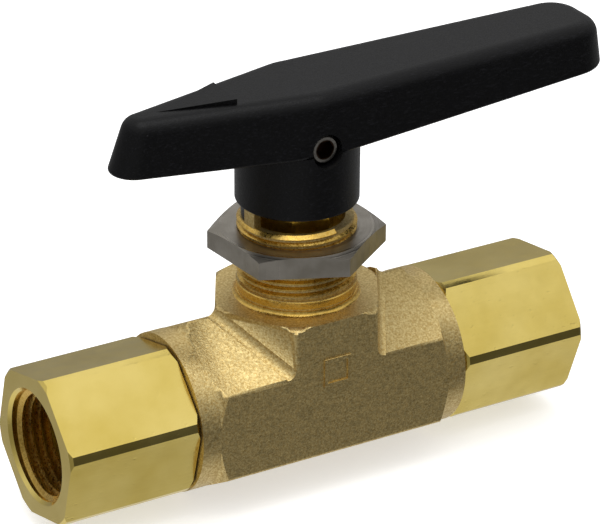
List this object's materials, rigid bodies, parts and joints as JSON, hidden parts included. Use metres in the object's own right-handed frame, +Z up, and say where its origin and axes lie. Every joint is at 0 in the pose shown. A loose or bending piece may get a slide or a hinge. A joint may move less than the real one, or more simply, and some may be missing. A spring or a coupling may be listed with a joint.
{
  "type": "panel mount ball valve",
  "caption": "Brass quarter-turn ball valve with female pipe ports, a threaded panel neck with a lock nut, and a black bar handle with a pointer.",
  "frame": {"origin": "centre of the ball, where the flow axis crosses the stem axis", "axes": "+X along the flow towards the right port, +Z up the stem to the handle, -Y towards the front face with the set screw"},
  "size_m": [0.1175, 0.0328, 0.0791],
  "materials": {
    "blasted_brass": "sand-blasted brass forging, matt",
    "machined_brass": "machined brass, bright",
    "stainless_steel": "machined stainless steel",
    "black_nylon": "moulded glass-filled nylon, satin",
    "alloy_steel": "turned and lightly oiled",
    "plated_ball": "polished chrome plate",
    "ptfe": "turned PTFE, waxy white",
    "die_cast_zinc": "as die cast"
  },
  "bodies": {
    "valve_body": {"body": "blasted_brass", "left_connector": "machined_brass", "right_connector": "machined_brass", "left_body_seal": "ptfe", "right_body_seal": "ptfe", "left_seat": "ptfe", "right_seat": "ptfe", "stem_thrust_washer": "ptfe", "packing_base_ring": "stainless_steel", "lower_packing_ring": "ptfe", "middle_packing_ring": "ptfe", "upper_packing_ring": "ptfe", "gland_follower": "machined_brass", "packing_nut": "machined_brass"},
    "handle_and_stem": {"handle": "black_nylon", "handle_insert": "die_cast_zinc", "set_screw": "alloy_steel", "stem": "stainless_steel"},
    "ball": {"ball": "plated_ball"},
    "panel_nut": {"panel_nut": "stainless_steel"}
  },
  "joints": [
    {"name": "handle_turn", "type": "hinge", "parent": "valve_body", "child": "handle_and_stem", "pos_m": [0, 0, 0], "axis": [0, 0, 1], "range_deg": [-90, 0]},
    {"name": "ball_turn", "type": "hinge", "parent": "valve_body", "child": "ball", "pos_m": [0, 0, 0], "axis": [0, 0, 1], "range_deg": [-90, 0]},
    {"name": "panel_nut_travel", "type": "slide", "parent": "valve_body", "child": "panel_nut", "axis": [0, 0, 1], "range_m": [-0.006, 0.0054]}
  ],
  "couplings": [
    {"joint": "ball_turn", "follows": "handle_turn", "ratio": 1}
  ]
}
